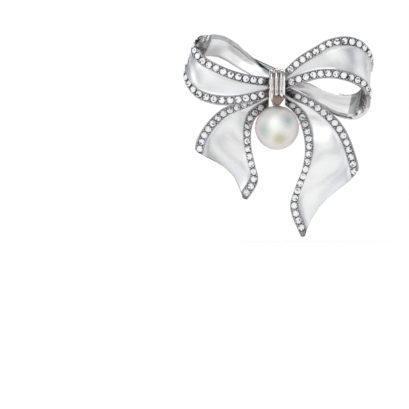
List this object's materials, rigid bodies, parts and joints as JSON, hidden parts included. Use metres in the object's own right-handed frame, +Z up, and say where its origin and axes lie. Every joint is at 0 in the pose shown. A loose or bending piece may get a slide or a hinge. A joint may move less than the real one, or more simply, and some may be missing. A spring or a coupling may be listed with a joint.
{
  "type": "brooch",
  "caption": "Ribbon-bow brooch with pave stone borders, a pearl under the knot, and a hinged pin held by a roll-over safety catch.",
  "frame": {"origin": "on the plane of the cloth, behind the middle of the knot", "axes": "-Y is the way the decorated front faces, +Z is up as worn, +X is to the right seen from the front"},
  "size_m": [0.0416, 0.0134, 0.0447],
  "materials": {
    "satin_ribbon": "satin face with polished rails and back, rhodium plated",
    "polished_white_metal": "mirror polished, rhodium plated",
    "pin_steel": "bright drawn wire",
    "white_stone": "round cut clear stones",
    "pearl_nacre": "pearl nacre, soft lustre"
  },
  "bodies": {
    "root": {"left_loop_ribbon": "satin_ribbon", "right_loop_ribbon": "satin_ribbon", "left_tail_ribbon": "satin_ribbon", "right_tail_ribbon": "satin_ribbon", "left_loop_upper_stones": "white_stone", "left_loop_lower_stones": "white_stone", "right_loop_lower_stones": "white_stone", "right_loop_upper_stones": "white_stone", "left_tail_outer_stones": "white_stone", "left_tail_inner_stones": "white_stone", "right_tail_inner_stones": "white_stone", "right_tail_outer_stones": "white_stone", "knot_core": "polished_white_metal", "knot_wire_left": "polished_white_metal", "knot_wire_middle": "polished_white_metal", "knot_wire_right": "polished_white_metal", "pearl_cup": "polished_white_metal", "joint_base_plate": "polished_white_metal", "joint_fork": "polished_white_metal", "catch_base_plate": "polished_white_metal", "catch_barrel": "polished_white_metal", "pearl_peg": "pin_steel", "joint_rivet": "pin_steel", "pearl": "pearl_nacre"},
    "pin": {"pin_stem": "pin_steel"},
    "rotor": {"catch_rotor": "pin_steel"}
  },
  "joints": [
    {"name": "pin_hinge", "type": "hinge", "parent": "root", "child": "pin", "pos_m": [-0.00963, 0.0007, 0.00802], "axis": [0.4165, 0, 0.9091], "range_deg": [0, 100]},
    {"name": "catch_turn", "type": "hinge", "parent": "root", "child": "rotor", "pos_m": [0.01519, 0.0007, -0.00335], "axis": [-0.9091, 0, 0.4165], "range_deg": [0, 100]}
  ]
}
